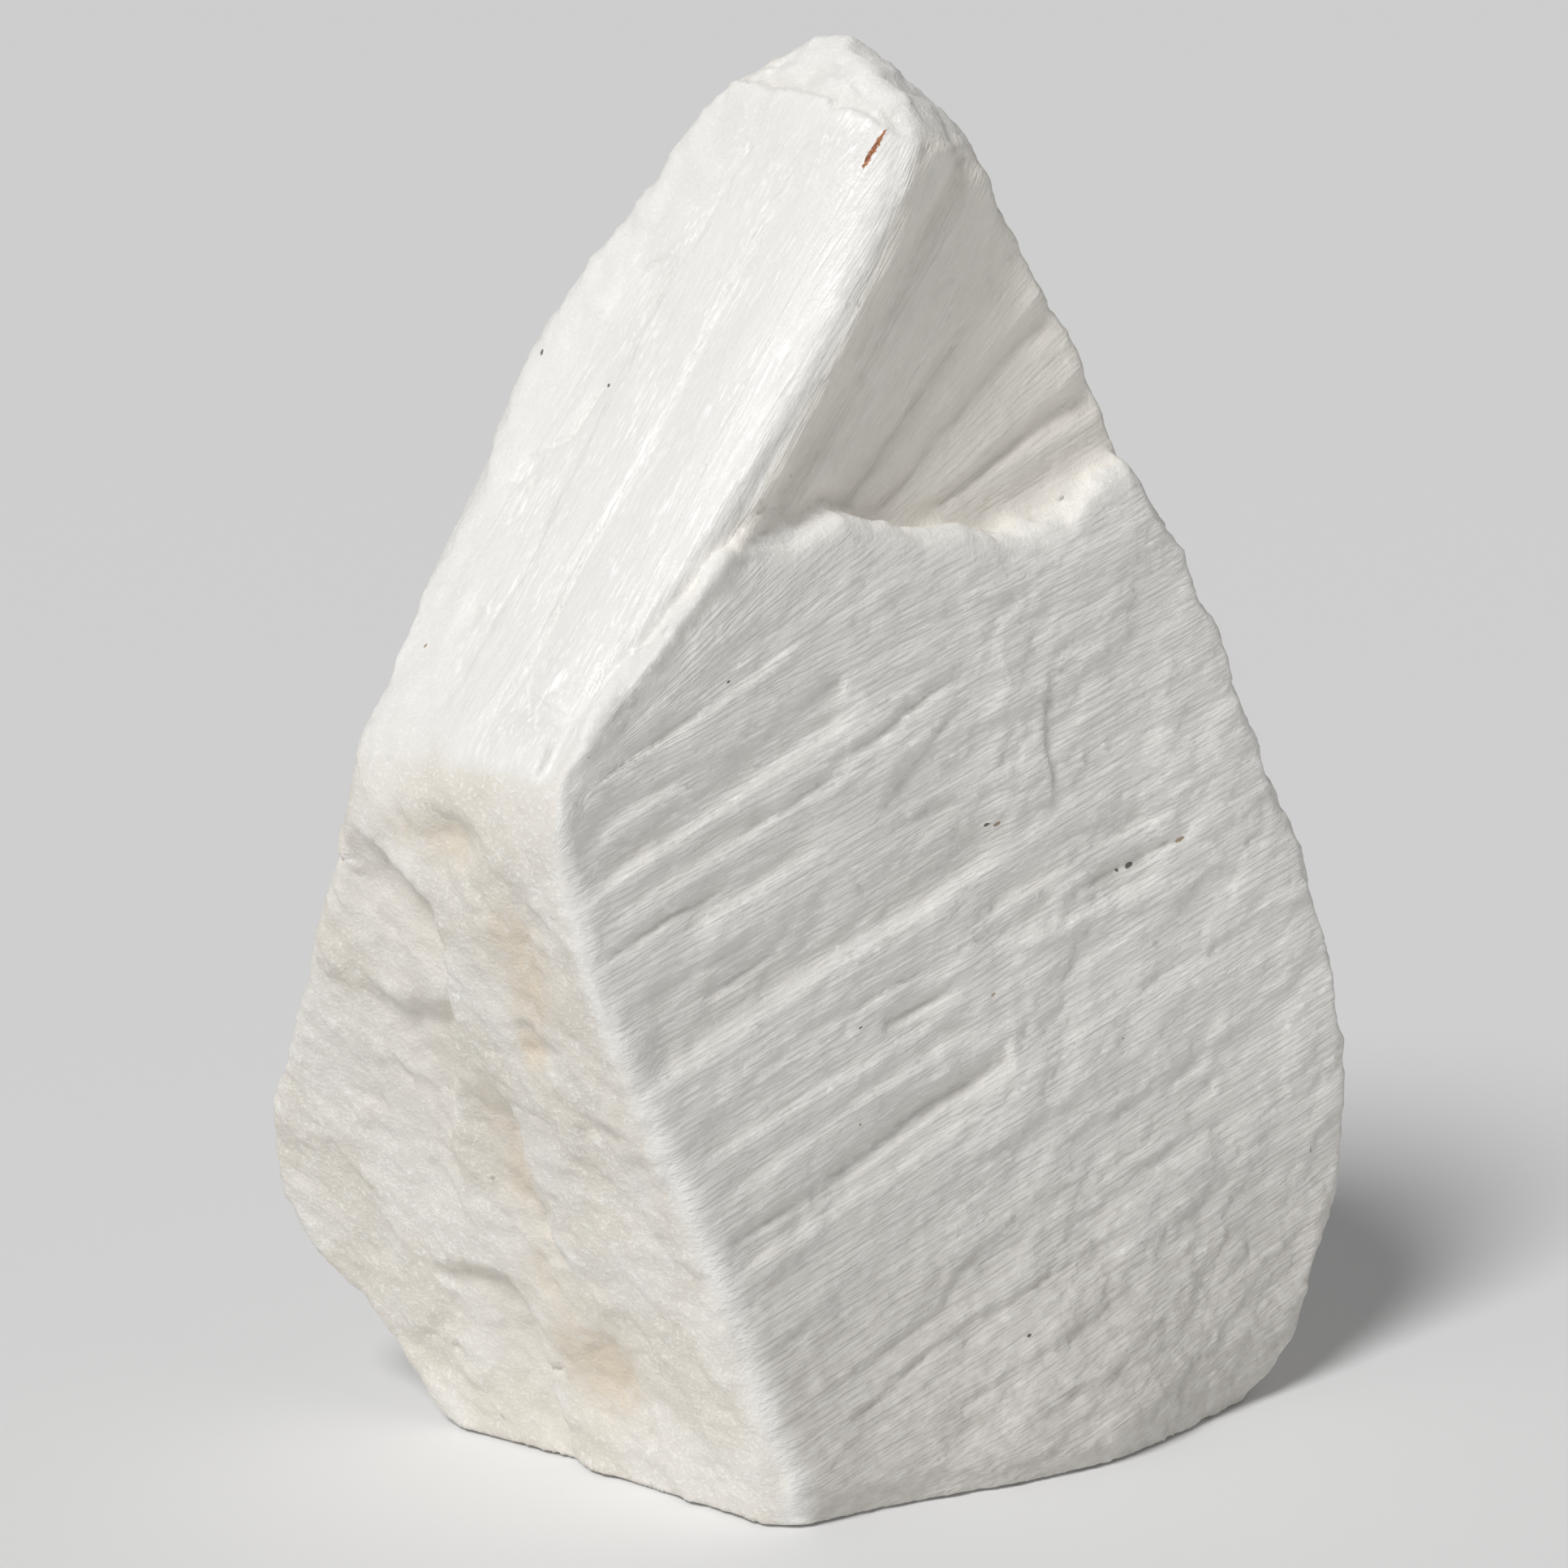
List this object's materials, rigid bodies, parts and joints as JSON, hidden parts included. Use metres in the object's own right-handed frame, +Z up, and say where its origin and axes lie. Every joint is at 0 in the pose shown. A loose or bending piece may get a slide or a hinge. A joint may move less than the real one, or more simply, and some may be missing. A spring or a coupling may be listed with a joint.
{
  "type": "raw scolecite",
  "caption": "Hand-sized broken block of silky white fibrous stone, wedge topped, standing on a flat cut base.",
  "frame": {"origin": "centre of the stone's bounding box, at the height of its flat base", "axes": "+Z up towards the peak, +Y away from the front, +X to the right as seen from the front"},
  "size_m": [0.078, 0.0562, 0.0989],
  "materials": {
    "stone": "silky"
  },
  "bodies": {
    "root": {"scolecite": "stone"}
  },
  "joints": []
}
